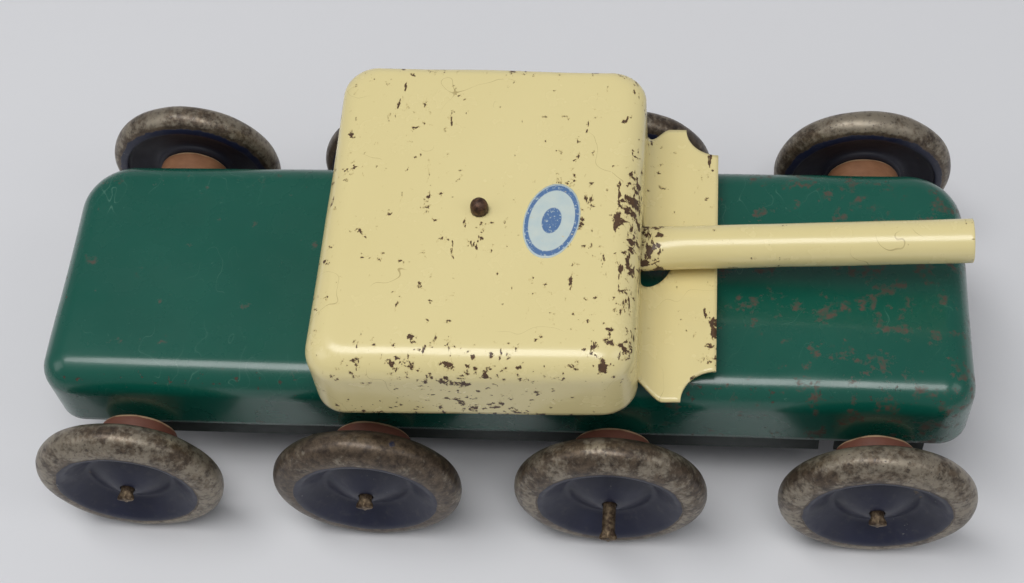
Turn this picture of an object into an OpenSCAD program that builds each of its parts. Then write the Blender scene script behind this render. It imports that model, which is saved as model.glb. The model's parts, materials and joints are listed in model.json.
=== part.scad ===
/* [Hull] */
// Length of the pressed hull cover
hull_l = 279.4; // [270:0.1:290]
// Width of the pressed hull cover
hull_w = 83.4; // [80:0.2:86]
// Height of the hull cover, lower edge to roof
hull_h = 25; // [24:1:30]
// Height of the hull cover's lower edge above the floor
hull_z = 31; // [31:0.5:33]
// Plan radius of the hull's upright corners
hull_corner = 13; // [11:1:18]
// Radius of the rounded edge around the roof
hull_edge = 9; // [6:0.5:10]

/* [Turret] */
// Length of the turret box along the hull
turret_l = 93; // [85:1:100]
// Width of the turret box
turret_w = 107; // [102:1:110]
// Sideways offset of the turret box from the pivot
turret_shift = 1; // [0:0.5:3]
// Height of the turret box
turret_h = 26; // [25:0.5:30]
// Gap between the hull roof and the turret's lower edge
turret_gap = 6; // [5:0.5:7]
// Reach of the front flange in front of the turret wall
flange_reach = 22; // [18:0.5:24]
// Radius of the notch in each front corner of the flange
flange_notch = 10; // [6:0.5:12]

/* [Gun] */
// Outside diameter of the barrel tube
gun_d = 12.7; // [11:0.1:14]
// Wall of the barrel tube
gun_wall = 0.9; // [0.7:0.1:1.2]
// Distance from the pivot to the muzzle
gun_l = 141; // [125:1:150]
// Upward slope of the barrel at rest, in degrees
gun_slope = 4.1; // [3.9:0.1:4.6]

/* [Wheels] */
// Diameter of a wheel
wheel_d = 57.15; // [56:0.05:58]
// Distance from the centre line to the middle of each wheel
wheel_y = 59.2; // [59:0.1:62]
// Diameter of the axle rods
axle_d = 3.96; // [3.5:0.01:4.2]
// Diameter of the hub spacers
spacer_d = 23.5; // [20:0.5:25]

/* [Hidden] */
// Positions of the axles along the hull, rear to front, and how far each end stands past the hub
AXLE_X = [-112.4, -38.5, 34.7, 112.4];
AXLE_TAIL = [3.6, 3.6, 11, 3.6];
SIDES = [-1, 1];
FLAT_FN = 32;
ROUND_FN = 72;
sheet = 1.0;
roof_z = hull_z + hull_h;
axle_z = wheel_d / 2;
axle_r = axle_d / 2;
run = 0.06;

// Wheel section: radius, and height along the axle outwards from the wheel's middle
wheel_sheet = 0.8;
rim_r = wheel_d / 2;
hub_top = 4.9;
lip_top = 5.6;
seam_top = 5.0;
seam_play = 0.25;
hub_face = 3.0;
spacer_inner = 44;

// Chassis channel
channel_y = hull_w / 2 - sheet;
channel_low = 23;
channel_top = roof_z - 9.2;
channel_rear = -118;
channel_front = 127;
notch_x = 98.6;
notch_w = 4.5;

// Pivot
pivot_x = -3.5;
pin_r = 2.2;
pin_head_r = 2.6;
pin_head_h = 4.4;
pin_foot_r = 4.5;
turret_z = roof_z + turret_gap;
turret_top = turret_z + turret_h;
turret_corner = 10;
turret_edge = 8;
flange_inset = 3.9;
collar_r = 4.2;

// Gun
gun_r = gun_d / 2;
gun_pivot_z = turret_z + 4;
collar_h = gun_pivot_z - roof_z - 2;
flat_w = 18.8;
flat_t = 2;
flat_end = 20;
round_start = 62;
tail_r = flat_w / 2;
eye_r = pin_r + run;
port_r = 10.7;
port_z = turret_z + 7;

// Label
label_x = 21;
label_y = -3.3;
label_long = 13;
label_short = 8;
label_t = 0.12;

WHEELS = [for (n = [1:4], s = ["right", "left"]) str(n, "_", s)];

function arc(centre, radius, from, to, steps) =
    [for (i = [0:steps]) let (a = from + (to - from) * i / steps)
        centre + radius * [cos(a), sin(a)]];
function oval_arc(centre, rx, ry, from, to, steps) =
    [for (i = [0:steps]) let (a = from + (to - from) * i / steps)
        centre + [rx * cos(a), ry * sin(a)]];
function unit(v) = v / norm(v);
function side(v) = [-v.y, v.x];
// The second skin of a sheet whose first skin follows the points
function skin(p, t) = let (last = len(p) - 1)
    [for (i = [0:last]) p[i] + t * side(unit(p[min(i + 1, last)] - p[max(i - 1, 0)]))];
function reversed(p) = [for (i = [len(p) - 1:-1:0]) p[i]];

module sheet_section(points, t) {
    polygon(concat(points, reversed(skin(points, t))));
}

// A bar along X whose two upper edges are rounded
module rounded_bar(l, w, z0, z1, edge) {
    translate([-l / 2, -w / 2, z0]) cube([l, w, z1 - z0 - edge]);
    translate([-l / 2, -w / 2 + edge, z0]) cube([l, w - 2 * edge, z1 - z0]);
    for (s = SIDES) translate([0, s * (w / 2 - edge), z1 - edge]) rotate([0, 90, 0])
        cylinder(r = edge, h = l, center = true, $fn = ROUND_FN);
}

// A box with rounded upright corners and rounded upper edges
module pressed_box(l, w, z0, z1, corner, edge) {
    h = z1 - z0;
    intersection() {
        union() {
            translate([-l / 2 + corner, -w / 2, z0]) cube([l - 2 * corner, w, h]);
            translate([-l / 2, -w / 2 + corner, z0]) cube([l, w - 2 * corner, h]);
            for (sx = SIDES, sy = SIDES)
                translate([sx * (l / 2 - corner), sy * (w / 2 - corner), z0])
                    cylinder(r = corner, h = h, $fn = ROUND_FN);
        }
        rounded_bar(l + 2, w, z0 - 1, z1, edge);
        rotate([0, 0, 90]) rounded_bar(w + 2, l, z0 - 1, z1, edge);
    }
}

// A pressed cover: a rounded box hollowed from below to the sheet's thickness
module pressed_cover(l, w, z0, z1, corner, edge) {
    difference() {
        pressed_box(l, w, z0, z1, corner, edge);
        pressed_box(l - 2 * sheet, w - 2 * sheet, z0 - 1, z1 - sheet,
            corner - sheet, edge - sheet);
    }
}

module hull_cover() {
    color([0.07, 0.30, 0.24]) difference() {
        pressed_cover(hull_l, hull_w, hull_z, roof_z, hull_corner, hull_edge);
        translate([pivot_x, 0, roof_z - 2 * sheet])
            cylinder(r = pin_r, h = 3 * sheet, $fn = ROUND_FN);
    }
}

module chassis_channel() {
    length = channel_front - channel_rear;
    color([0.06, 0.08, 0.07]) difference() {
        translate([channel_rear, -channel_y, channel_low])
            cube([length, 2 * channel_y, channel_top - channel_low]);
        translate([channel_rear - 1, -channel_y + sheet, channel_low - 1])
            cube([length + 2, 2 * (channel_y - sheet), channel_top - channel_low + 1 - sheet]);
        for (x = AXLE_X) translate([x, 0, axle_z]) rotate([90, 0, 0])
            cylinder(r = axle_r + run, h = 2 * channel_y + 2, center = true, $fn = ROUND_FN);
        translate([notch_x - notch_w / 2, -channel_y - 1, channel_low - 1])
            cube([notch_w, 2 * channel_y + 2, hull_z - channel_low + 2.5]);
    }
}

// An axle rod with both ends staked flat
module axle(n) {
    reach = wheel_y + hub_top + AXLE_TAIL[n - 1];
    stake_l = 1.2;
    color([0.33, 0.29, 0.25]) translate([AXLE_X[n - 1], 0, axle_z]) rotate([90, 0, 0]) {
        cylinder(r = axle_r, h = 2 * reach - 1, center = true, $fn = ROUND_FN);
        for (s = SIDES) translate([0, 0, s * (reach - 0.5)])
            mirror([0, 0, s < 0 ? 1 : 0])
                cylinder(r1 = axle_r, r2 = axle_r - 0.4, h = 0.5, $fn = ROUND_FN);
        for (s = SIDES) translate([0, 0, s * (reach - 0.5 - stake_l / 2)])
            cube([5.2, 1.5, stake_l], center = true);
    }
}

// Moves a piece drawn along +Z to its wheel, with +Z outwards
module at_wheel(n, s) {
    translate([AXLE_X[n - 1], s * wheel_y, axle_z]) rotate([-s * 90, 0, 0]) children();
}

// Outer pressing: hub cone, dish, lip, tread and the seam rolled over the back disc
module wheel_disc(n, s) {
    valley_r = 12.6;
    skin_points = concat(
        [[axle_r + run, hub_top], [axle_r + 1, hub_top], [4, hub_top - 0.6]],
        arc([valley_r + 0.2, 2.9], 2.4, -112, -66, 5),
        arc([21.2, 3.0], 2.6, 128, 90, 4),
        oval_arc([22.2, 0.6], rim_r - 22.2, lip_top - 0.6, 84, 0, 12),
        oval_arc([23.0, 0.2], rim_r - 23.0, seam_top + 0.2, 0, -84, 12));
    color([0.16, 0.17, 0.26]) at_wheel(n, s) rotate_extrude($fn = ROUND_FN)
        sheet_section(skin_points, -wheel_sheet);
}

// Back pressing: flat hub face for the spacer, a shallow dish and a rim under the seam
module wheel_back(n, s) {
    rim_z = -seam_top + wheel_sheet + seam_play;
    skin_points = concat(
        [[axle_r + run, -hub_face], [12.4, -hub_face], [13.4, -hub_face + 1.4]],
        [[18.6, -hub_face + 0.7], [22.4, rim_z], [24.2, rim_z]]);
    color([0.13, 0.13, 0.2]) at_wheel(n, s) rotate_extrude($fn = ROUND_FN)
        sheet_section(skin_points, wheel_sheet);
}

// Turned spacer between the hull side and the wheel
module hub_spacer(n, s) {
    r = spacer_d / 2;
    h = wheel_y - hub_face - spacer_inner;
    ease = 0.9;
    color([0.42, 0.28, 0.2]) at_wheel(n, s) translate([0, 0, -hub_face - h])
        rotate_extrude($fn = ROUND_FN)
            polygon(concat([[axle_r + run, 0]],
                arc([r - ease, ease], ease, -90, 0, 4),
                arc([r - ease, h - ease], ease, 0, 90, 4),
                [[axle_r + run, h]]));
}

module on_pivot(z) {
    translate([pivot_x, 0, z]) children();
}

// Rivet that holds the turret, its foot under the hull roof and its domed end above the turret
module pivot_pin() {
    foot_z = roof_z - 2 * sheet;
    foot_h = 2;
    head_z = turret_top + 0.15;
    color([0.2, 0.13, 0.1]) on_pivot(0) rotate_extrude($fn = ROUND_FN)
        polygon(concat([[0, foot_z - foot_h], [pin_foot_r - 1, foot_z - foot_h]],
            [[pin_foot_r, foot_z - 0.8], [pin_foot_r, foot_z], [pin_r, foot_z], [pin_r, head_z]],
            [[pin_head_r, head_z]],
            oval_arc([0, head_z + 1.6], pin_head_r, pin_head_h - 1.6, 0, 90, 8)));
}

module ring(inner, outer, h) {
    difference() {
        cylinder(r = outer, h = h, $fn = ROUND_FN);
        translate([0, 0, -1]) cylinder(r = inner, h = h + 2, $fn = ROUND_FN);
    }
}

module pivot_washer() {
    color([0.4, 0.38, 0.35]) on_pivot(roof_z - 2 * sheet) ring(pin_r, 7, sheet);
}

module pivot_collar() {
    color([0.4, 0.38, 0.35]) on_pivot(roof_z) ring(pin_r, 5.5, collar_h);
}

// Tube on the pin that carries the turret roof
module pivot_spacer_tube() {
    z0 = gun_pivot_z + 2.2;
    z1 = turret_top - sheet - 0.1;
    color([0.45, 0.42, 0.38]) on_pivot(z0) ring(pin_r, collar_r, z1 - z0);
}

// Flange plate with its cove up to the wall, drawn as a sheet bent along Y
module flange_sheet() {
    wall_x = pivot_x + turret_l / 2;
    bend = 4.5;
    half_w = turret_w / 2 - flange_inset;
    tip_x = wall_x + flange_reach;
    intersection() {
        rotate([90, 0, 0]) linear_extrude(height = 2 * half_w, center = true)
            sheet_section(concat(
                [[wall_x - 0.9, turret_z + bend + 3.5]],
                arc([wall_x + bend - 0.5, turret_z + bend + sheet], bend, 180, 270, 8),
                [[tip_x, turret_z + sheet]]), -sheet);
        linear_extrude(height = 2 * turret_top)
            difference() {
                polygon([[wall_x - 3, -half_w + 4.2], [wall_x + 1, -half_w + 2.6],
                    [wall_x + 4, -half_w + 0.6], [wall_x + 7, -half_w], [tip_x, -half_w],
                    [tip_x, half_w], [wall_x + 7, half_w], [wall_x + 4, half_w - 0.6],
                    [wall_x + 1, half_w - 2.6], [wall_x - 3, half_w - 4.2]]);
                for (s = SIDES) translate([tip_x, s * half_w])
                    circle(r = flange_notch, $fn = ROUND_FN);
            }
    }
}

module turret_cover() {
    wall_x = pivot_x + turret_l / 2;
    color([0.85, 0.79, 0.58]) difference() {
        union() {
            translate([pivot_x, turret_shift, 0])
                pressed_cover(turret_l, turret_w, turret_z, turret_top,
                    turret_corner, turret_edge);
            translate([0, turret_shift, 0]) flange_sheet();
        }
        translate([wall_x - 5, 0, port_z]) rotate([0, 90, 0])
            cylinder(r = port_r, h = 8, $fn = ROUND_FN);
        translate([wall_x - 2, 0, turret_z - 1])
            cylinder(r = port_r, h = 8, $fn = ROUND_FN);
        translate([pivot_x, 0, turret_top - 2 * sheet])
            cylinder(r = pin_r + run, h = 3 * sheet, $fn = ROUND_FN);
    }
}

module turret_label() {
    color([0.75, 0.79, 0.8]) translate([pivot_x + label_x, label_y, turret_top])
        rotate([0, 0, -8]) linear_extrude(height = label_t)
            polygon(oval_arc([0, 0], label_short, label_long, 0, 352.5, 47));
}

// Tube squeezed flat at its root, where it is pierced for the pivot pin
module gun_barrel() {
    bore_r = gun_r - gun_wall;
    color([0.86, 0.8, 0.6]) on_pivot(gun_pivot_z) rotate([0, 90 - gun_slope, 0])
        difference() {
            union() {
                translate([0, 0, round_start])
                    cylinder(r = gun_r, h = gun_l - round_start, $fn = ROUND_FN);
                hull() {
                    translate([0, 0, round_start]) cylinder(r = gun_r, h = 0.01, $fn = FLAT_FN);
                    translate([-flat_t / 2, -flat_w / 2, flat_end]) cube([flat_t, flat_w, 0.01]);
                }
                translate([-flat_t / 2, -flat_w / 2, 0]) cube([flat_t, flat_w, flat_end]);
                translate([-flat_t / 2, 0, 0]) rotate([0, 90, 0])
                    cylinder(r = tail_r, h = flat_t, $fn = ROUND_FN);
            }
            translate([0, 0, round_start])
                cylinder(r = bore_r, h = gun_l - round_start + 1, $fn = ROUND_FN);
            hull() {
                translate([0, 0, round_start]) cylinder(r = bore_r, h = 0.01, $fn = FLAT_FN);
                translate([-0.1, -flat_w / 2 + gun_wall, flat_end + 6])
                    cube([0.2, flat_w - 2 * gun_wall, 0.01]);
            }
            rotate([0, gun_slope - 90, 0])
                cylinder(r = eye_r, h = 3 * flat_t, center = true, $fn = ROUND_FN);
        }
}

hull_cover();
chassis_channel();
for (n = [1:4]) {
    axle(n);
    for (s = SIDES) {
        where = str(n, "_", s < 0 ? "right" : "left");
        wheel_disc(n, s);
        wheel_back(n, s);
        hub_spacer(n, s);
    }
}
pivot_pin();
pivot_washer();
pivot_collar();
pivot_spacer_tube();
turret_cover();
turret_label();
gun_barrel();
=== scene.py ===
"""Looks for a pressed-steel toy army tank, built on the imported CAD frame.

Lengths below are in millimetres."""

import json
import math

import bmesh
import bpy
from mathutils import Matrix, Vector, noise


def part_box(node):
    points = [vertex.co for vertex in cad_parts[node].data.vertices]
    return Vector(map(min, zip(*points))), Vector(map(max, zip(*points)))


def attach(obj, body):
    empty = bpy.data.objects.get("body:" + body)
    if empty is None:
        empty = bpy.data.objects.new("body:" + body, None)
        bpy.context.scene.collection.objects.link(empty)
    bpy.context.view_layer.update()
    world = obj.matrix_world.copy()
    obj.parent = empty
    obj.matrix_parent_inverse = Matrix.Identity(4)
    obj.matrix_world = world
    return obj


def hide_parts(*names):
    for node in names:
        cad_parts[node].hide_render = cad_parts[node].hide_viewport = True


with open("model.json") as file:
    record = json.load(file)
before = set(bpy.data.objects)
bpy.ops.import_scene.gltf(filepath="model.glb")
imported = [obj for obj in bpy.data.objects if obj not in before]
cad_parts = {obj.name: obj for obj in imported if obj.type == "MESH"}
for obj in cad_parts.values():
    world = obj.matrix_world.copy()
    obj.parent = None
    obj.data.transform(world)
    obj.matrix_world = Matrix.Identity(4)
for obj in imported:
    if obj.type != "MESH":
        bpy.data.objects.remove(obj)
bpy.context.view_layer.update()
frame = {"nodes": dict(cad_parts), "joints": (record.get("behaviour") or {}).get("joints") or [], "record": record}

MM = 0.001
SIDES = (("right", -1), ("left", 1))
SHEET = 1.0


# ---------------------------------------------------------------- numbers and small helpers

def mix(a, b, t):
    return a + (b - a) * t


def smooth(t):
    t = max(0.0, min(1.0, t))
    return t * t * (3 - 2 * t)


def box(node):
    """Lowest and highest corner of a CAD node, in millimetres."""
    low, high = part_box(node)
    return low / MM, high / MM


def joint_at(name):
    """Place of a joint in millimetres."""
    found = next(j for j in frame["joints"] if j["name"] == name)
    return Vector(found["pos_m"]) / MM


def srgb(r, g, b):
    """A colour given as 0-255 screen values, as linear numbers."""
    def linear(v):
        v /= 255
        return v / 12.92 if v <= 0.04045 else ((v + 0.055) / 1.055) ** 2.4
    return (linear(r), linear(g), linear(b), 1)


# ---------------------------------------------------------------- mesh building

class Sheet:
    """Vertices, faces and one wear value for each vertex."""

    def __init__(self):
        self.points, self.faces, self.wear = [], [], []

    def point(self, p, wear=0.0):
        self.points.append(Vector(p))
        self.wear.append(wear)
        return len(self.points) - 1

    def row(self, points, wear=0.0):
        return [self.point(p, wear) for p in points]

    def join(self, lower, upper, closed=True):
        """Quads between two rows of the same length, or triangles where a row is one repeated point."""
        n = len(lower)
        for i in range(n if closed else n - 1):
            j = (i + 1) % n
            corners = tuple(dict.fromkeys((lower[i], lower[j], upper[j], upper[i])))
            if len(corners) > 2:
                self.faces.append(corners)

    def drop(self, inside, snapped):
        """Takes out the faces that lie inside a hole, and moves the hole's remaining points to its edge."""
        gone = {i for i in range(len(self.points)) if inside(i)}
        self.faces = [f for f in self.faces if not all(i in gone for i in f)]
        for i in {i for f in self.faces for i in f if i in gone}:
            self.points[i] = snapped(i)
            self.wear[i] = 1.0


WELD_DISTANCE = 0.004


def add_piece(name, sheet, material, body, nodes, thickness=0.0, place=None, dents=0.0, dent_size=30.0,
              seed=0.0, still=None):
    """Turns a Sheet into a smooth piece that rides on a CAD body and stands for its CAD nodes.

    dents is the height of slow waves in the sheet, and still says how much of it a point gets."""
    mesh = bpy.data.meshes.new(name)
    mesh.from_pydata([p * MM for p in sheet.points], [], sheet.faces)
    values = mesh.attributes.new("wear", "FLOAT", "POINT")
    values.data.foreach_set("value", sheet.wear)
    weld(mesh, WELD_DISTANCE * MM)
    mesh.polygons.foreach_set("use_smooth", [True] * len(mesh.polygons))
    if dents:
        normals = [v.normal.copy() for v in mesh.vertices]
        for v, normal in zip(mesh.vertices, normals):
            at = v.co / MM
            amount = dents * (still(at) if still else 1.0)
            v.co += normal * MM * amount * noise.noise(at / dent_size + Vector((seed, 2 * seed, 3 * seed)))
    mesh.materials.append(material)
    piece = bpy.data.objects.new(name, mesh)
    bpy.context.scene.collection.objects.link(piece)
    if place is not None:
        piece.matrix_world = place
    if thickness:
        solid = piece.modifiers.new("sheet", "SOLIDIFY")
        solid.thickness = thickness * MM
        solid.offset = -1
        solid.use_even_offset = True
        solid.use_quality_normals = True
    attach(piece, body)
    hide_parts(*nodes)
    return piece


def weld(mesh, distance):
    work = bmesh.new()
    work.from_mesh(mesh)
    bmesh.ops.remove_doubles(work, verts=work.verts, dist=distance)
    bmesh.ops.dissolve_degenerate(work, edges=work.edges, dist=distance / 4)
    work.to_mesh(mesh)
    work.free()


def outline(a, b, left_r, right_r, counts):
    """(point, side) round a rectangle of half sizes a and b, anticlockwise from the +X side's lower end.

    left_r rounds the two corners on the +Y side, right_r the two on the -Y side."""
    corner, long, short = counts
    p, q = (max(0.0, min(r, a, b)) for r in (left_r, right_r))
    points = []

    def straight(start, end, steps, side):
        for i in range(steps):
            u = i / steps
            points.append(((mix(start[0], end[0], u), mix(start[1], end[1], u)), side))

    def turn(cx, cy, r, start):
        for i in range(corner):
            t = math.radians(start + 90 * i / corner)
            points.append(((cx + r * math.cos(t), cy + r * math.sin(t)), "corner"))

    straight((a, q - b), (a, b - p), short, "front")
    turn(a - p, b - p, p, 0)
    straight((a - p, b), (p - a, b), long, "left")
    turn(p - a, b - p, p, 90)
    straight((-a, b - p), (-a, q - b), short, "rear")
    turn(q - a, q - b, q, 180)
    straight((q - a, -b), (a - q, -b), long, "right")
    turn(a - q, q - b, q, 270)
    return points


def around(i, steps):
    """Cosine and sine of step i of a full turn."""
    t = 2 * math.pi * i / steps
    return math.cos(t), math.sin(t)


def lathe(sheet, profile, steps, wear):
    """Turns (radius, height) points about local Z, with one wear value for each point."""
    rows = []
    for (r, h), value in zip(profile, wear):
        turned = (around(i, steps) for i in range(steps))
        rows.append(sheet.row([(r * c, r * d, h) for c, d in turned], value))
    for lower, upper in zip(rows, rows[1:]):
        sheet.join(lower, upper)


def arc(cx, cy, rx, ry, start, end, steps):
    return [(cx + rx * math.cos(math.radians(mix(start, end, i / steps))),
             cy + ry * math.sin(math.radians(mix(start, end, i / steps)))) for i in range(steps + 1)]


def along(points, step):
    """The same polyline with points no further apart than step."""
    found = [points[0]]
    for p, q in zip(points, points[1:]):
        n = max(1, math.ceil(math.dist(p, q) / step))
        found += [(mix(p[0], q[0], i / n), mix(p[1], q[1], i / n)) for i in range(1, n + 1)]
    return found


# ---------------------------------------------------------------- node materials

class Paint:
    """A short way to write a node material."""

    def __init__(self, name, seed=0.0):
        self.material = bpy.data.materials.new(name)
        self.material.use_nodes = True
        self.tree = self.material.node_tree
        self.shader = self.tree.nodes["Principled BSDF"]
        place = self.node("ShaderNodeTexCoord").outputs["Object"]
        shift = (seed, 1.7 * seed, 0.6 * seed)
        self.place = self.node("ShaderNodeVectorMath", {0: place, 1: shift}, operation="ADD").outputs[0]
        self.own = place
        self.wear = self.node("ShaderNodeAttribute", attribute_name="wear").outputs["Fac"]

    def node(self, kind, inputs=None, **settings):
        made = self.tree.nodes.new(kind)
        for key, value in settings.items():
            setattr(made, key, value)
        for key, value in (inputs or {}).items():
            self.feed(made.inputs[key], value)
        return made

    def feed(self, socket, value):
        if isinstance(value, bpy.types.NodeSocket):
            self.tree.links.new(value, socket)
        else:
            socket.default_value = value

    def stretched(self, x, y, z):
        scaled = self.node("ShaderNodeVectorMath", {0: self.place, 1: (x, y, z)}, operation="MULTIPLY")
        return scaled.outputs[0]

    def noise(self, size, detail=4.0, rough=0.55, distortion=0.0, where=None):
        """Noise from 0 to 1 whose lumps are about size millimetres wide."""
        return self.node("ShaderNodeTexNoise", {
            "Vector": where or self.place, "Scale": 1 / (size * MM), "Detail": detail, "Roughness": rough,
            "Distortion": distortion}).outputs["Fac"]

    def calc(self, operation, a, b=0.0, c=0.0):
        return self.node("ShaderNodeMath", {0: a, 1: b, 2: c}, operation=operation).outputs[0]

    def step(self, value, low, high):
        """0 below low, 1 above high, smooth between."""
        return self.node("ShaderNodeMapRange", {"Value": value, "From Min": low, "From Max": high},
                         interpolation_type="SMOOTHSTEP").outputs["Result"]

    def blend(self, amount, a, b):
        made = self.node("ShaderNodeMix", data_type="RGBA")
        self.feed(made.inputs[0], amount)
        self.feed(made.inputs[6], a)
        self.feed(made.inputs[7], b)
        return made.outputs[2]

    def most(self, *values):
        found = values[0]
        for v in values[1:]:
            found = self.calc("MAXIMUM", found, v)
        return found

    def times(self, *values):
        found = values[0]
        for v in values[1:]:
            found = self.calc("MULTIPLY", found, v)
        return found

    def hairlines(self, size, width, mask_size, share, where=None, detail=2.0):
        """Thin winding scratches, in patches."""
        field = self.noise(size, detail, 0.5, 0.0, where)
        line = self.step(self.calc("ABSOLUTE", self.calc("SUBTRACT", field, 0.5)), width, width * 0.4)
        return self.times(line, self.step(self.noise(mask_size, 2.0), share, share + 0.06))

    def part(self, axis):
        return self.node("ShaderNodeSeparateXYZ", {0: self.own}).outputs[axis]

    def finish(self, color, rough, metal=0.0, height=None, depth=0.0, coat=0.0, coat_rough=0.1, specular=0.5):
        self.feed(self.shader.inputs["Base Color"], color)
        self.feed(self.shader.inputs["Roughness"], rough)
        self.feed(self.shader.inputs["Metallic"], metal)
        self.shader.inputs["Specular IOR Level"].default_value = specular
        self.shader.inputs["Coat Weight"].default_value = coat
        self.shader.inputs["Coat Roughness"].default_value = coat_rough
        if height is not None:
            bump = self.node("ShaderNodeBump", {"Height": height, "Distance": depth * MM, "Strength": 1.0})
            self.feed(self.shader.inputs["Normal"], bump.outputs["Normal"])
        return self.material


def cream_enamel(name, seed, amount):
    """Cream enamel chipped to dark steel in small ragged spots, thicker at the edges."""
    p = Paint(name, seed)
    broad = p.noise(38, 3.0)
    near_edge = p.times(p.wear, 0.058)
    fine = p.noise(3.2, 5.0, 0.62)
    lift = p.calc("ADD", p.times(p.calc("SUBTRACT", broad, 0.5), 0.42), near_edge)
    level = p.calc("ADD", fine, lift)
    chips = p.step(level, 0.735 - amount, 0.75 - amount)
    stretched = p.stretched(1.0, 0.33, 1.0)
    long = p.calc("ADD", p.noise(2.3, 4.0, 0.6, 0.0, stretched), lift)
    gouges = p.step(long, 0.755 - amount, 0.77 - amount)
    bare = p.most(chips, gouges)
    halo = p.most(p.step(level, 0.69 - amount, 0.75 - amount), p.step(long, 0.72 - amount, 0.77 - amount))
    hair = p.hairlines(26, 0.0016, 30, 0.52)
    base = p.blend(p.noise(55, 2.0), srgb(231, 216, 158), srgb(223, 207, 147))
    base = p.blend(p.times(halo, 0.55), base, srgb(178, 150, 88))
    base = p.blend(p.times(hair, 0.6), base, srgb(150, 128, 78))
    rust = p.blend(p.noise(1.1, 3.0), srgb(44, 30, 18), srgb(104, 72, 40))
    color = p.blend(bare, base, rust)
    rough = p.calc("ADD", p.times(bare, 0.4), p.times(p.noise(9, 3.0), 0.12))
    rough = p.calc("ADD", rough, 0.2)
    ripple = p.times(p.noise(6, 2.0), 0.10)
    height = p.calc("SUBTRACT", ripple, p.times(bare, 1.0))
    return p.finish(color, rough, 0.0, height, 0.12, coat=0.25, coat_rough=0.08)


def green_enamel(name):
    """Dark green gloss enamel with fine scratches, and red-brown scuffs that are denser in front."""
    p = Paint(name, 0.31)
    forward = p.step(p.part(0), -0.02, 0.12)
    tint = p.blend(p.noise(30, 3.0), srgb(8, 76, 62), srgb(13, 88, 72))
    hair = p.hairlines(13, 0.002, 24, 0.5, p.stretched(1.0, 0.5, 1.0))
    nick = p.step(p.noise(1.7, 4.0, 0.6), 0.71, 0.74)
    tint = p.blend(p.times(p.most(hair, nick), 0.35), tint, srgb(96, 140, 122))
    scuff_level = p.calc("ADD", p.noise(7.5, 6.0, 0.72), p.times(forward, 0.10))
    scuffs = p.times(p.step(scuff_level, 0.63, 0.68), p.step(p.noise(2.2, 3.0), 0.38, 0.62))
    tint = p.blend(p.times(scuffs, 0.75), tint, srgb(88, 56, 44))
    edge_level = p.calc("ADD", p.noise(2.6, 5.0, 0.65), p.times(p.wear, 0.12))
    chips = p.step(edge_level, 0.735, 0.76)
    color = p.blend(chips, tint, srgb(70, 50, 36))
    dull = p.noise(22, 4.0, 0.6)
    rough = p.calc("ADD", p.times(dull, 0.22), p.times(p.most(scuffs, chips), 0.35))
    rough = p.calc("ADD", rough, 0.16)
    height = p.calc("SUBTRACT", p.times(p.noise(5, 3.0), 0.08), p.times(chips, 0.7))
    return p.finish(color, rough, 0.0, height, 0.10, coat=0.3, coat_rough=0.1)


def wheel_paint(name, seed, worn):
    """Dark blue enamel, rubbed off the rim to brown and bright steel."""
    p = Paint(name, seed)
    mottled = p.noise(4.5, 6.0, 0.7)
    coarse = p.noise(14, 3.0)
    level = p.calc("ADD", p.wear, p.times(p.calc("SUBTRACT", mottled, 0.5), 0.9))
    level = p.calc("ADD", level, p.times(p.calc("SUBTRACT", coarse, 0.5), 0.7))
    bare = p.step(level, 0.62 - worn, 0.70 - worn)
    polished = p.step(p.calc("ADD", level, p.times(p.noise(1.3, 3.0), 0.5)), 1.2 - worn, 1.5 - worn)
    blue = p.blend(p.noise(9, 4.0), srgb(14, 17, 38), srgb(25, 30, 58))
    dust = p.step(p.noise(3.4, 6.0, 0.7), 0.5, 0.75)
    blue = p.blend(p.times(dust, 0.35), blue, srgb(74, 72, 74))
    scrape = p.times(p.step(p.noise(2.1, 5.0, 0.75, 0.0, p.stretched(1.0, 0.6, 1.0)), 0.66, 0.70),
                     p.step(p.noise(16, 2.0), 0.52, 0.6))
    blue = p.blend(p.times(scrape, 0.7), blue, srgb(150, 148, 140))
    steel = p.blend(p.step(p.noise(2.4, 6.0, 0.75), 0.3, 0.7), srgb(50, 40, 33), srgb(104, 89, 72))
    steel = p.blend(p.times(polished, 0.7), steel, srgb(158, 148, 130))
    pits = p.step(p.noise(1.0, 4.0, 0.65), 0.60, 0.66)
    steel = p.blend(p.times(pits, 0.8), steel, srgb(46, 36, 30))
    color = p.blend(bare, blue, steel)
    rough = p.calc("ADD", p.times(p.noise(3.0, 4.0), 0.3), p.times(p.calc("SUBTRACT", 1.0, bare), 0.06))
    rough = p.calc("ADD", rough, 0.27)
    metal = p.times(bare, p.calc("SUBTRACT", 0.5, p.times(pits, 0.4)))
    height = p.calc("SUBTRACT", p.times(p.noise(2.0, 4.0), 0.2), p.times(bare, 0.5))
    return p.finish(color, rough, metal, height, 0.10, coat=0.1)


def dark_paint(name, seed, low, high, rough_low=0.4):
    p = Paint(name, seed)
    color = p.blend(p.noise(6, 5.0, 0.65), low, high)
    nick = p.step(p.noise(1.9, 4.0), 0.70, 0.74)
    color = p.blend(p.times(nick, 0.6), color, srgb(96, 82, 64))
    rough = p.calc("ADD", rough_low, p.times(p.noise(4, 4.0), 0.3))
    return p.finish(color, rough, 0.0, p.noise(2.5, 4.0), 0.05)


def rubbed_metal(name, seed, dark, light, metal, rough_low, grain=1.6):
    p = Paint(name, seed)
    field = p.noise(grain, 5.0, 0.68)
    color = p.blend(p.step(field, 0.35, 0.7), dark, light)
    rough = p.calc("ADD", rough_low, p.times(p.noise(2.2, 4.0), 0.35))
    return p.finish(color, rough, metal, field, 0.06)


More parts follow.
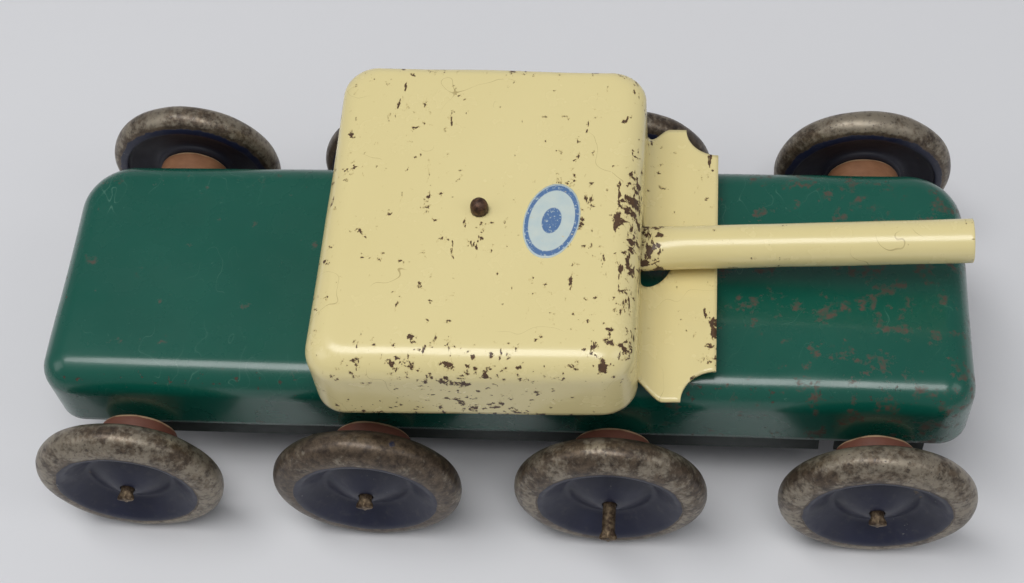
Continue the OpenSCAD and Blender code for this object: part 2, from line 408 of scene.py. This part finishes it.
def spacer_stain(name, seed, dark, light):
    """Turned spacer with turning rings and rubbed edges."""
    p = Paint(name, seed)
    rings = p.noise(0.8, 2.0, 0.5, 0.0, p.stretched(0.15, 0.15, 1.4))
    color = p.blend(p.noise(5, 5.0, 0.65), dark, light)
    color = p.blend(p.times(rings, 0.35), color, srgb(70, 40, 26))
    rub = p.step(p.calc("ADD", p.wear, p.times(p.calc("SUBTRACT", p.noise(3, 4.0), 0.5), 1.2)), 0.6, 0.9)
    color = p.blend(p.times(rub, 0.6), color, srgb(196, 168, 132))
    rough = p.calc("ADD", 0.42, p.times(p.noise(3, 4.0), 0.3))
    return p.finish(color, rough, 0.0, p.calc("ADD", p.times(rings, 0.6), p.noise(1.6, 4.0)), 0.05)


# ---------------------------------------------------------------- hull

def hull_cover():
    low, high = box("hull_cover")
    a, b = (high.x - low.x) / 2, (high.y - low.y) / 2
    edge, left_r, right_r = 9.0, 17.0, 10.0
    wall_rows, bend_rows, roof_spacing = 12, 14, 2.4
    foot_wear, edge_wear = 0.8, 0.9
    counts = (18, 130, 30)
    sheet = Sheet()
    levels = []
    for i in range(wall_rows):
        u = i / wall_rows
        levels.append((0.0, mix(low.z, high.z - edge, u), foot_wear * (1 - smooth(3 * u))))
    for i in range(bend_rows + 1):
        t = math.radians(90 * i / bend_rows)
        inset = edge * (1 - math.cos(t))
        levels.append((inset, high.z - edge + edge * math.sin(t), edge_wear * math.sin(2 * t) ** 2))
    inset = edge
    while inset < b:
        inset = min(b, inset + roof_spacing)
        levels.append((inset, high.z, 0.0))
    rows = []
    for inset, z, wear in levels:
        ring = outline(a - inset, b - inset, left_r - inset, right_r - inset, counts)
        rows.append(sheet.row([(x, y, z) for (x, y), _ in ring], wear))
    for lower, upper in zip(rows, rows[1:]):
        sheet.join(lower, upper)
    return add_piece("hull_cover_enamel", sheet, green_enamel("green_enamel_worn"), "hull", ["hull_cover"],
                     thickness=SHEET, dents=0.35, dent_size=34, seed=1.3)


# ---------------------------------------------------------------- turret

TURRET_LENGTH = 93.0


def turret_cover():
    """Box, cove and flange as one sheet, with the gun's port and the rivet's hole cut through it."""
    pin = joint_at("turret_swivel")
    low, high = box("turret_cover")
    length, width = TURRET_LENGTH, high.y - low.y
    middle = Vector((pin.x, (low.y + high.y) / 2, 0))
    a, b = length / 2, width / 2
    corner, edge, far_share, narrowing = 10.0, 8.0, 0.6, 0.018
    wall_rows, bend_rows, foot_rows = 10, 10, 7
    counts = (14, 60, 64)
    flange_z, cove = low.z + SHEET, 4.5
    half_arc = cove * math.pi / 4
    seam_z = low.z + 8.0
    reach, half_flange, notch = high.x - (middle.x + a), 49.2, 10.0
    port_middle, port_long, port_half = -4.0, 11.7, 10.7
    sheet = Sheet()
    unrolled = {}

    def skewed(x, y, z, inset=0.0):
        """The box is a little narrower in front, and its left upper edge is bent tighter than the others."""
        far = smooth((y / b - 0.1) / 0.7)
        depth, total = high.z - z, high.z - seam_z
        if depth < edge:
            depth *= mix(1, far_share, far)
        elif depth < total:
            depth = mix(edge * mix(1, far_share, far), total, (depth - edge) / (total - edge))
        y += far * (1 - far_share) * min(inset, edge)
        return (middle.x + x, middle.y + y * (1 - narrowing * x / a), high.z - depth)

    levels = [(0.0, mix(seam_z, high.z - edge, i / wall_rows), 0.0) for i in range(wall_rows)]
    for i in range(bend_rows + 1):
        t = math.radians(90 * i / bend_rows)
        wear = 0.35 + 0.65 * math.sin(2 * t) ** 2
        levels.append((edge * (1 - math.cos(t)), high.z - edge + edge * math.sin(t), wear))
    inset = edge
    while inset < a:
        inset = min(a, inset + (2.2 if inset < a - 8 else 0.8))
        levels.append((inset, high.z, 0.35 * smooth((14 - inset) / 10)))
    rows = []
    for inset, z, wear in levels:
        ring = outline(a - inset, b - inset, corner - inset * 0.6, corner - inset * 0.6, counts)
        rows.append(sheet.row([skewed(x, y, z, inset) for (x, y), _ in ring], wear))
        for index, ((x, y), side) in zip(rows[-1], ring):
            if side == "front" and z < high.z:
                sheet.wear[index] += 1.2 * math.exp(-((y + 1) / 12) ** 2)
                if inset == 0:
                    unrolled[index] = -(z - (flange_z + cove)) - half_arc
    for lower, upper in zip(rows, rows[1:]):
        sheet.join(lower, upper)

    ring = outline(a, b, corner, corner, counts)
    front = counts[2]
    rest = list(range(front, len(ring))) + [0]
    previous = [rows[0][i] for i in rest]
    for k in range(1, foot_rows + 1):
        z = mix(seam_z, low.z, k / foot_rows)
        wear = 0.5 + 0.5 * smooth(2 * k / foot_rows - 1)
        lower = sheet.row([skewed(ring[i][0][0], ring[i][0][1], z) for i in rest], wear)
        sheet.join(lower, previous, closed=False)
        previous = lower

    # front strip: down the wall, round the cove, out along the flange to its notched corners
    path = [(a, z) for z in (seam_z - 1, flange_z + cove)]
    path += [(a + cove - cove * math.cos(t), flange_z + cove - cove * math.sin(t))
             for t in (math.radians(90 * i / 8) for i in range(1, 9))]
    straight_end = a + reach - notch
    straight_rows, notch_rows = 7, 12
    path += [(mix(a + cove, straight_end, i / straight_rows), flange_z) for i in range(1, straight_rows + 1)]
    path += [(a + reach - notch * math.cos(t), flange_z)
             for t in (math.radians(90 * i / notch_rows) for i in range(1, notch_rows + 1))]
    columns = list(range(front + 1))
    root = ring[front][0][1]
    previous = [rows[0][i] for i in columns]
    run = -(seam_z - (flange_z + cove)) - half_arc
    last = (a, seam_z)
    for x, z in path:
        run += math.dist((x, z), last)
        last = (x, z)
        out = x - a
        half = mix(root, half_flange, smooth(out / 7))
        if x > straight_end:
            half = half_flange - math.sqrt(max(0.0, notch ** 2 - (a + reach - x) ** 2))
        wear = 0.2 + 0.8 * smooth((out - reach + 6) / 6)
        droop = 0.35 * noise.noise(Vector((x / 30, 0.4, 0.2)))
        lower = []
        for i in columns:
            y = ring[i][0][1] * half / root
            ripple = 0.5 * noise.noise(Vector((x / 22, y / 26, 4.0)))
            lift = ripple * smooth(out / 8) + droop * smooth(out / 8)
            at_side = smooth((abs(y) - half + 4) / 4)
            index = sheet.point(skewed(x, y, z + max(-0.3, lift)), max(wear, 0.8 * at_side))
            unrolled[index] = run
            lower.append(index)
        sheet.join(lower, previous, closed=False)
        previous = lower

    gun_y = pin.y

    def from_port(i):
        """Distance down the unrolled front and sideways, from the port's middle."""
        return unrolled[i] - port_middle, sheet.points[i].y - gun_y

    def in_port(i):
        if i not in unrolled:
            return False
        s, y = from_port(i)
        return math.hypot(s / port_long, y / port_half) < 1

    def on_port(i):
        s, y = from_port(i)
        grow = 1 / max(0.02, math.hypot(s / port_long, y / port_half))
        s, y = s * grow + port_middle, y * grow + gun_y
        at = sheet.points[i].copy()
        if s < -half_arc:
            at.x, at.z = middle.x + a, flange_z + cove - half_arc - s
        elif s < half_arc:
            t = s / cove + math.pi / 4
            at.x = middle.x + a + cove - cove * math.cos(t)
            at.z = flange_z + cove - cove * math.sin(t)
        else:
            at.x = middle.x + a + cove + s - half_arc
        at.y = y
        return at

    sheet.drop(in_port, on_port)
    hole = 2.35

    def over_pin(i):
        at = sheet.points[i]
        return at.z > high.z - 0.5 and math.hypot(at.x - pin.x, at.y - pin.y) < hole

    def round_pin(i):
        at = sheet.points[i]
        away = Vector((at.x - pin.x, at.y - pin.y, 0))
        away = away.normalized() if away.length > 1e-6 else Vector((1, 0, 0))
        return Vector((pin.x, pin.y, at.z)) + away * hole

    sheet.drop(over_pin, round_pin)

    def flat_near_label(at):
        return 0.25 if at.z > high.z - 1 else 1.0

    return add_piece("turret_cover_enamel", sheet, cream_enamel("cream_enamel_chipped", 0.0, 0.06), "turret",
                     ["turret_cover"], thickness=SHEET, dents=0.3, dent_size=30, seed=0.7,
                     still=flat_near_label)


def turret_label():
    """Oval paper label with a plain printed border, a little wrinkled and rubbed."""
    low, high = box("turret_label")
    middle = (low + high) / 2
    long, short, lean = 13.0, 8.0, math.radians(-8)
    sheet = Sheet()
    rings, steps = 14, 72
    place = Matrix.Translation(Vector((middle.x, middle.y, low.z)) * MM) @ Matrix.Rotation(lean, 4, "Z")
    rows = []
    for k in range(rings + 1):
        share = max(0.001, k / rings)
        row = []
        for i in range(steps):
            c, d = around(i, steps)
            rough = 1 + (0.012 * noise.noise(Vector((7 * c, 7 * d, 3))) if k == rings else 0)
            x, y = short * share * rough * c, long * share * rough * d
            z = 0.10 + 0.02 * noise.noise(Vector((x / 3, y / 3, 1)))
            row.append((x, y, z))
        rows.append(sheet.row(row, share))
    for inner, outer in zip(rows, rows[1:]):
        sheet.join(outer, inner)
    skirt = []
    for i in range(steps):
        c, d = around(i, steps)
        skirt.append(sheet.point((short * 1.002 * c, long * 1.002 * d, -0.12), 1.0))
    sheet.join(skirt, rows[-1])

    p = Paint("label_paper_aged", 0.9)
    x, y = p.times(p.part(0), 1 / (short * MM)), p.times(p.part(1), 1 / (long * MM))
    oval = p.calc("SQRT", p.calc("ADD", p.times(x, x), p.times(y, y)))
    ground = p.blend(p.noise(3.0, 4.0), srgb(176, 196, 200), srgb(206, 212, 200))
    band = p.times(p.step(oval, 0.80, 0.83), p.step(oval, 0.965, 0.94))
    middle_spot = p.step(oval, 0.36, 0.33)
    ink = p.times(p.most(band, middle_spot), p.step(p.noise(0.9, 4.0, 0.7), 0.34, 0.46))
    color = p.blend(p.times(ink, 0.88), ground, srgb(38, 92, 150))
    worn = p.step(p.calc("ADD", p.noise(1.6, 5.0, 0.7), p.times(oval, 0.08)), 0.70, 0.75)
    color = p.blend(worn, color, srgb(206, 190, 146))
    rough = p.calc("ADD", 0.45, p.times(p.noise(2, 3.0), 0.2))
    material = p.finish(color, rough, 0.0, p.noise(1.2, 4.0), 0.03)
    return add_piece("turret_label_paper", sheet, material, "turret", ["turret_label"],
                     place=place)


# ---------------------------------------------------------------- gun

def gun_barrel():
    """Tube squeezed flat at its root, with an open bore at the muzzle and a pierced tail on the rivet."""
    mount = next(m for m in frame["record"]["mounts"] if m["name"] == "muzzle")
    ahead = Vector(mount["axis"]).normalized()
    muzzle = Vector(mount["pos_m"]) / MM
    tail = joint_at("gun_swing")
    across = Vector((0, 1, 0))
    upward = ahead.cross(across)
    tube, wall = 6.35, 0.9
    total = (muzzle - tail).dot(ahead)
    flat_end, round_start = 20.0, 64.0
    sheet = Sheet()

    def ring(s, half_w, half_t, square, steps=64):
        points = []
        for i in range(steps):
            t = 2 * math.pi * i / steps
            c, d = math.cos(t), math.sin(t)
            y = half_w * math.copysign(abs(c) ** (2 / square), c)
            n = half_t * math.copysign(abs(d) ** (2 / square), d)
            points.append(tail + ahead * s + across * y + upward * n)
        return points

    def section(s, shrink=0.0):
        u = smooth((s - flat_end) / (round_start - flat_end))
        return mix(9.4, tube, u) - shrink, mix(1.0, tube, u) - shrink, mix(3.2, 2.0, smooth(1.4 * u))

    rows = []
    s = flat_end
    while s < total - 0.35:
        wear = 4.0 * smooth((59 - s) / 10) + smooth((s - total + 5) / 5)
        rows.append(sheet.row(ring(s, *section(s)), wear))
        s += 1.6
    for inset, back in ((0.0, 0.3), (0.1, 0.1), (0.3, 0.0), (0.6, 0.0), (0.8, 0.12), (0.9, 0.35)):
        rows.append(sheet.row(ring(total - back, tube - inset, tube - inset, 2.0), 1.0))
    s = total - 1.5
    while s > flat_end + 14:
        rows.append(sheet.row(ring(s, *section(s, wall)), 0.4))
        s -= 3
    for lower, upper in zip(rows, rows[1:]):
        sheet.join(lower, upper)
    sheet.join(rows[-1], [sheet.point(tail + ahead * (flat_end + 12))] * 64)

    eye, half_t, half_w = 2.3, 1.0, 9.4
    steps = 64
    edges = []
    for i in range(steps):
        t = 2 * math.pi * i / steps
        c, d = math.cos(t), math.sin(t)
        far = half_w if c <= 0 else min(half_w / max(1e-6, abs(d)), (flat_end + 0.5) / max(1e-6, c))
        edges.append((c, d, far))
    layers = []
    for share, side in ((0, 1), (0.3, 1), (1, 1), (1, -1), (0.3, -1), (0, -1)):
        layer = []
        for c, d, far in edges:
            away = mix(eye, far, share)
            layer.append(tail + ahead * (c * away) + across * (d * away) + upward * half_t * side)
        layers.append(sheet.row(layer, 0.7))
    for lower, upper in zip(layers, layers[1:] + layers[:1]):
        sheet.join(lower, upper)

    def calm_at_root(at):
        return smooth((at.x - 20) / 20)

    return add_piece("gun_barrel_enamel", sheet, cream_enamel("cream_enamel_gun", 0.43, 0.04), "gun",
                     ["gun_barrel"], dents=0.12, dent_size=16, seed=2.2, still=calm_at_root)


# ---------------------------------------------------------------- pivot

def pivot_pin():
    low, high = box("pivot_pin")
    at = joint_at("turret_swivel")
    sheet = Sheet()
    top = high.z
    seat = box("turret_cover")[1].z + 0.15
    foot, shank_r, head_r = low.z, 2.15, 2.6
    profile = [(0.01, foot), (3.4, foot), (4.3, foot + 1.0), (4.5, foot + 1.9), (shank_r, foot + 2.0)]
    profile += [(shank_r, seat), (head_r, seat + 0.05)]
    profile += arc(0.0, seat + 1.7, head_r, top - seat - 1.7, 0, 86, 9) + [(0.01, top - 0.02)]
    profile = along(profile, 0.8)
    lathe(sheet, profile, 40, [smooth((h - seat) / 3) for _, h in profile])
    for i, p in enumerate(sheet.points):
        if p.z > seat + 0.2:
            push = 0.22 * noise.noise(Vector((p.x / 1.8, p.y / 1.8, p.z / 1.8)))
            grow = 1 + 0.04 * push
            sheet.points[i] = Vector((p.x * grow, p.y * grow, min(top, p.z + 0.3 * push)))
    place = Matrix.Translation(Vector((at.x, at.y, 0)) * MM)
    rust = rubbed_metal("pin_rust", 0.2, srgb(46, 28, 20), srgb(104, 74, 54), 0.35, 0.32, 1.2)
    return add_piece("pivot_pin_rivet", sheet, rust, "hull", ["pivot_pin"], place=place)


# ---------------------------------------------------------------- wheels and axles

def wheel_frame(n, side, sign):
    """Local +Z points outwards along the axle, from the wheel's middle."""
    at = joint_at(f"wheel_{n}_{side}_spin")
    return Matrix.Translation(at * MM) @ Matrix.Rotation(math.radians(-90 * sign), 4, "X")


DISC_PROFILE = along(
    [(2.2, 4.35), (2.2, 4.75), (2.4, 4.9), (3.2, 4.85), (4.2, 4.4)]
    + arc(12.8, 2.9, 2.4, 2.4, -112, -66, 6)
    + arc(21.2, 3.0, 2.6, 2.6, 128, 90, 5)
    + arc(22.2, 0.6, 6.375, 5.0, 84, 0, 20)
    + arc(23.0, 0.2, 5.575, 5.2, -4, -84, 20)
    + [(23.2, -4.9), (23.05, -4.6), (23.2, -4.3)], 1.1)[::-1]


def rim_wear(r, h):
    """Where hands and floors rub a wheel: most on the tread and the lip, least in the dish."""
    tread = smooth((r - 20.6) / 1.6) * smooth((h + 5.3) / 1.8)
    crease = 0.30 * math.exp(-((r - 12.4) / 1.2) ** 2)
    hub = 0.25 * math.exp(-((r - 3.0) / 1.5) ** 2)
    return min(1.0, 0.10 + max(0.9 * tread, crease, hub))


RIM_BARENESS = {1: 0.10, 2: -0.06, 3: 0.04, 4: 0.12}
SPACER_INNER_Y = 44.0


def wheel(n, side, sign):
    """Outer pressing, back pressing and turned spacer of one wheel."""
    body = f"wheel_{n}_{side}"
    place = wheel_frame(n, side, sign)
    seed = 0.37 * n + (0.19 if sign > 0 else 0.0)
    disc = Sheet()
    lathe(disc, DISC_PROFILE, 120, [rim_wear(r, h) for r, h in DISC_PROFILE])
    paint = wheel_paint(f"wheel_blue_{n}_{side}", seed, RIM_BARENESS[n])
    add_piece(f"wheel_disc_{n}_{side}_pressing", disc, paint, body, [f"wheel_disc_{n}_{side}"],
              thickness=0.8, place=place, dents=0.16, dent_size=9, seed=seed)
    back = Sheet()
    profile = along([(2.2, -3.0), (12.0, -3.0), (12.6, -2.8), (13.4, -1.7), (15.0, -1.55), (18.6, -2.3),
                     (22.4, -3.9), (24.0, -3.95)], 1.0)
    lathe(back, profile, 96, [0.3] * len(profile))
    add_piece(f"wheel_back_{n}_{side}_pressing", back, MATERIALS["back"], body, [f"wheel_back_{n}_{side}"],
              thickness=0.7, place=place, dents=0.12, dent_size=8, seed=seed)
    spacer = Sheet()
    inner = -(abs(joint_at(f"wheel_{n}_{side}_spin").y) - SPACER_INNER_Y)
    bore_r, r, ease, outer = 2.2, 11.75, 1.3, -3.02
    profile = [(bore_r, inner), (r - ease - 0.5, inner)]
    profile += arc(r - ease, inner + ease, ease, ease, -90, 0, 5)
    profile += arc(r - ease, outer - ease, ease, ease, 0, 90, 5) + [(bore_r, outer)]
    profile = along(profile, 1.6)
    wear = [smooth((r - 1) / 12) * (1.0 if abs(h - inner) < 1.2 or h > -4.2 else 0.2) for r, h in profile]
    lathe(spacer, profile, 72, wear)
    # Far-side spacers take a lighter copy of the stain as painted light, near-side spacers a darker copy as
    # painted shade.
    spacer_stain_and_light = MATERIALS["spacer_far_painted_lit" if sign > 0 else "spacer_near_painted_shade"]
    add_piece(f"hub_spacer_{n}_{side}_turned", spacer, spacer_stain_and_light, body, [f"hub_spacer_{n}_{side}"],
              place=place, dents=0.15, dent_size=5, seed=seed)


def axle(n):
    """Rod with both ends squeezed flat in a vice, so that two ears stand out."""
    low, high = box(f"axle_{n}")
    middle = (low + high) / 2
    half = (high.y - low.y) / 2
    sheet = Sheet()
    r, ear_r, flat_half, steps, middle_rows = 1.95, 2.6, 1.15, 32, 40
    # distance in from the end, size of the section, and how flat it is squeezed
    end = [(0.0, 0.25, 0.0), (0.0, 0.8, 1.0), (0.12, 0.93, 1.0), (0.35, 1.0, 1.0), (0.9, 1.0, 1.0)]
    end += [(1.4, 1.0, 0.8), (2.0, 1.0, 0.2), (2.5, 1.0, 0.0)]
    profile = [(-half + d, size, flat) for d, size, flat in end]
    profile += [(mix(-half + 3.5, half - 3.5, i / middle_rows), 1.0, 0.0) for i in range(middle_rows + 1)]
    profile += [(half - d, size, flat) for d, size, flat in reversed(end)]
    rows = []
    for along_y, size, flat in profile:
        row = []
        for i in range(steps):
            x, z = around(i, steps)
            wide = mix(r, ear_r * abs(x) ** 0.4 if abs(x) > 0.05 else r * 0.6, flat)
            tall = mix(r, flat_half if abs(x) > 0.35 else r * 0.9, flat)
            row.append((wide * x * size, along_y, tall * z * size))
        rows.append(sheet.row(row, 0.5))
    tips = [[sheet.point((0, y, 0), 0.5)] * steps for y in (-half, half)]
    rows = [tips[0]] + rows + [tips[1]]
    for lower, upper in zip(rows, rows[1:]):
        sheet.join(upper, lower)
    place = Matrix.Translation(Vector((middle.x, 0, joint_at(f"axle_{n}_spin").z)) * MM)
    add_piece(f"axle_{n}_rod", sheet, MATERIALS["axle"], f"axle_{n}_body", [f"axle_{n}"],
              place=place)


# ---------------------------------------------------------------- the object

MATERIALS = {
    "back": dark_paint("wheel_back_dusty", 0.6, srgb(22, 25, 44), srgb(44, 42, 48)),
    "chassis": dark_paint("chassis_dull", 0.8, srgb(20, 30, 27), srgb(34, 44, 40), 0.45),
    # The two spacer entries are one stain in two copies: a lighter one as painted light for the far side, a darker
    # one as painted shade for the near side.
    "spacer_far_painted_lit": spacer_stain("spacer_tan_painted_lit", 0.15, srgb(120, 78, 52), srgb(168, 122, 88)),
    "spacer_near_painted_shade": spacer_stain("spacer_red_brown_painted_shade", 0.55, srgb(84, 44, 34), srgb(128, 80, 62)),
    "axle": rubbed_metal("axle_tarnished", 0.35, srgb(58, 44, 34), srgb(130, 112, 88), 0.7, 0.3),
    "steel": rubbed_metal("plain_steel_dull", 0.25, srgb(96, 90, 80), srgb(150, 144, 132), 0.9, 0.35),
}

hull_cover()
turret_cover()
turret_label()
gun_barrel()
pivot_pin()
for n in (1, 2, 3, 4):
    axle(n)
    for side, sign in SIDES:
        wheel(n, side, sign)

KEPT_NODES = (
    ("chassis_channel", "chassis", "chassis_black"),
    ("pivot_washer", "steel", "plain_steel"),
    ("pivot_collar", "steel", "plain_steel"),
    ("pivot_spacer_tube", "steel", "plain_steel"),
)
for name, material, slot in KEPT_NODES:
    kept = frame["nodes"][name]
    kept.data.materials.clear()
    kept.data.materials.append(MATERIALS[material])


# ---------------------------------------------------------------- floor, light and camera

def backdrop():
    """A pale floor that sweeps up a long way behind the object."""
    sheet = Sheet()
    size, rise, top, columns = 1600, 700, 2200, (-2600, -900, 900, 2600)
    bend_y = size * 0.6
    profile = [(-size, 0.0), (bend_y, 0.0)] + arc(bend_y, rise, rise, rise, -90, 0, 16)
    profile.append((bend_y + rise, top))
    rows = [sheet.row([(x, y, z) for x in columns]) for y, z in profile]
    for lower, upper in zip(rows, rows[1:]):
        sheet.join(lower, upper, closed=False)
    mesh = bpy.data.meshes.new("floor_sweep")
    mesh.from_pydata([q * MM for q in sheet.points], [], sheet.faces)
    mesh.polygons.foreach_set("use_smooth", [True] * len(mesh.polygons))
    p = Paint("floor_paper")
    color = p.blend(p.noise(300, 2.0), (0.70, 0.70, 0.715, 1), (0.73, 0.73, 0.74, 1))
    mesh.materials.append(p.finish(color, 0.75, 0.0, p.noise(2.0, 2.0), 0.01, specular=0.2))
    floor = bpy.data.objects.new("floor_sweep", mesh)
    bpy.context.scene.collection.objects.link(floor)


def soft_light(name, place, target, size, watts):
    data = bpy.data.lights.new(name, "AREA")
    data.shape = "RECTANGLE"
    data.size, data.size_y = size
    data.energy = watts
    lamp = bpy.data.objects.new(name, data)
    bpy.context.scene.collection.objects.link(lamp)
    lamp.location = place
    lamp.rotation_mode = "QUATERNION"
    lamp.rotation_quaternion = (Vector(target) - Vector(place)).to_track_quat("-Z", "Y")


def camera():
    """Raised view from the toy's right, turned a little to the front, with the horizon leaning."""
    azimuth, elevation, lean = (math.radians(x) for x in (11.77, 57.27, -8.86))
    place = Vector((58.7, -271.2, 475.3)) * MM
    pixels_to_focus, image_width, sensor = 1651.9, 1024, 36.0
    flat = math.cos(elevation)
    back = Vector((math.sin(azimuth) * flat, -math.cos(azimuth) * flat, math.sin(elevation)))
    right = (-back).cross(Vector((0, 0, 1))).normalized()
    upward = right.cross(-back)
    x = right * math.cos(lean) + upward * math.sin(lean)
    y = upward * math.cos(lean) - right * math.sin(lean)
    data = bpy.data.cameras.new("camera")
    data.sensor_width = sensor
    data.lens = pixels_to_focus / image_width * sensor
    data.clip_start, data.clip_end = 0.01, 20
    made = bpy.data.objects.new("camera", data)
    bpy.context.scene.collection.objects.link(made)
    made.matrix_world = Matrix.Translation(place) @ Matrix((x, y, back)).transposed().to_4x4()
    bpy.context.scene.camera = made


backdrop()
camera()
soft_light("overhead", (-0.15, -0.2, 1.5), (0, 0, 0.05), (1.5, 0.5), 15)
soft_light("left_fill", (-1.2, -0.35, 0.95), (0, 0, 0.04), (0.6, 0.8), 2.2)
soft_light("right_fill", (1.2, -0.4, 1.1), (0, 0, 0.04), (0.6, 0.8), 2.4)
world = bpy.data.worlds.new("studio")
world.use_nodes = True
world.node_tree.nodes["Background"].inputs["Color"].default_value = (0.9, 0.93, 1.0, 1)
world.node_tree.nodes["Background"].inputs["Strength"].default_value = 0.26
bpy.context.scene.world = world
bpy.context.scene.view_settings.view_transform = "Standard"
